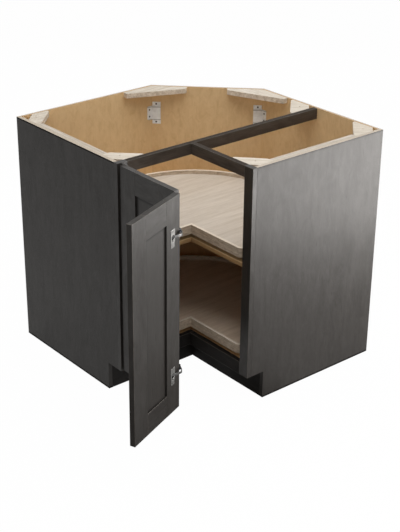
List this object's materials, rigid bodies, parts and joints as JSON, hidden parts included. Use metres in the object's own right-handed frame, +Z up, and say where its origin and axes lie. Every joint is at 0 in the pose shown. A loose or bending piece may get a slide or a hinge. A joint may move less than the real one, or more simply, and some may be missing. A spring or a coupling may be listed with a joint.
{
  "type": "corner carousel base cabinet",
  "caption": "L-shaped corner kitchen base unit with pie-cut turntable trays behind a folding pair of recessed-panel doors, shown open, without worktop.",
  "frame": {"origin": "corner of the room at floor level, where the planes of the two back panels would meet", "axes": "+X along the back-left wall to the left end panel, +Y along the back-right wall to the right end panel, +Z up"},
  "size_m": [1.1709, 1.0148, 0.876],
  "materials": {
    "dark_finish": "satin dark stained wood",
    "inside_veneer": "satin natural veneer",
    "pale_wood": "raw pale plywood",
    "tray_wood": "satin clear-coated plywood",
    "zinc_steel": "zinc plated",
    "nickel": "nickel plated"
  },
  "bodies": {
    "carcass": {"left_end_panel": "dark_finish", "right_end_panel": "dark_finish", "back_left_panel": "inside_veneer", "back_right_panel": "inside_veneer", "corner_back_panel": "inside_veneer", "cabinet_floor": "inside_veneer", "fixed_shelf": "inside_veneer", "left_top_cleat": "pale_wood", "right_top_cleat": "pale_wood", "back_left_block": "pale_wood", "front_left_block": "pale_wood", "back_right_block": "pale_wood", "front_right_block": "pale_wood", "rail_end_block": "pale_wood", "left_wide_block": "pale_wood", "right_wide_block": "pale_wood", "left_stile": "dark_finish", "right_stile": "dark_finish", "long_top_rail": "dark_finish", "right_top_rail": "dark_finish", "left_bottom_rail": "dark_finish", "right_bottom_rail": "dark_finish", "left_toe_board": "dark_finish", "right_toe_board": "dark_finish", "left_bracket": "zinc_steel", "right_bracket": "zinc_steel", "bracket_screws": "zinc_steel", "upper_hinge_arm": "nickel", "lower_hinge_arm": "nickel", "hinge_arm_screws": "nickel", "upper_bearing_base": "zinc_steel", "lower_bearing_base": "zinc_steel", "bearing_base_screws": "zinc_steel", "bearing_balls": "zinc_steel"},
    "upper_tray": {"upper_tray_floor": "tray_wood", "upper_tray_rim": "tray_wood", "upper_bearing_top": "zinc_steel", "upper_tray_screws": "zinc_steel"},
    "lower_tray": {"lower_tray_floor": "tray_wood", "lower_tray_rim": "tray_wood", "lower_bearing_top": "zinc_steel", "lower_tray_screws": "zinc_steel"},
    "door_1": {"door_1_hinge_stile": "dark_finish", "door_1_fold_stile": "dark_finish", "door_1_top_rail": "dark_finish", "door_1_bottom_rail": "dark_finish", "door_1_panel": "dark_finish", "upper_hinge_cup": "nickel", "lower_hinge_cup": "nickel", "upper_fold_arm": "nickel", "lower_fold_arm": "nickel", "door_1_screws": "nickel"},
    "door_2": {"door_2_fold_stile": "dark_finish", "door_2_free_stile": "dark_finish", "door_2_top_rail": "dark_finish", "door_2_bottom_rail": "dark_finish", "door_2_panel": "dark_finish", "upper_fold_cup": "nickel", "lower_fold_cup": "nickel", "door_2_screws": "nickel"}
  },
  "joints": [
    {"name": "door_1_swing", "type": "hinge", "parent": "carcass", "child": "door_1", "pos_m": [0.9, 0.619, 0.4905], "axis": [0, 0, 1], "range_deg": [-15, 90]},
    {"name": "door_2_fold", "type": "hinge", "parent": "door_1", "child": "door_2", "pos_m": [0.903, 0.897, 0.4905], "axis": [0, 0, 1], "range_deg": [-22, 5]},
    {"name": "upper_tray_turn", "type": "hinge", "parent": "carcass", "child": "upper_tray", "pos_m": [0.485, 0.485, 0.54], "axis": [0, 0, 1], "range_deg": [-360, 360]},
    {"name": "lower_tray_turn", "type": "hinge", "parent": "carcass", "child": "lower_tray", "pos_m": [0.485, 0.485, 0.17], "axis": [0, 0, 1], "range_deg": [-360, 360]}
  ],
  "couplings": [
    {"joint": "door_2_fold", "follows": "door_1_swing", "ratio": -0.23889}
  ]
}
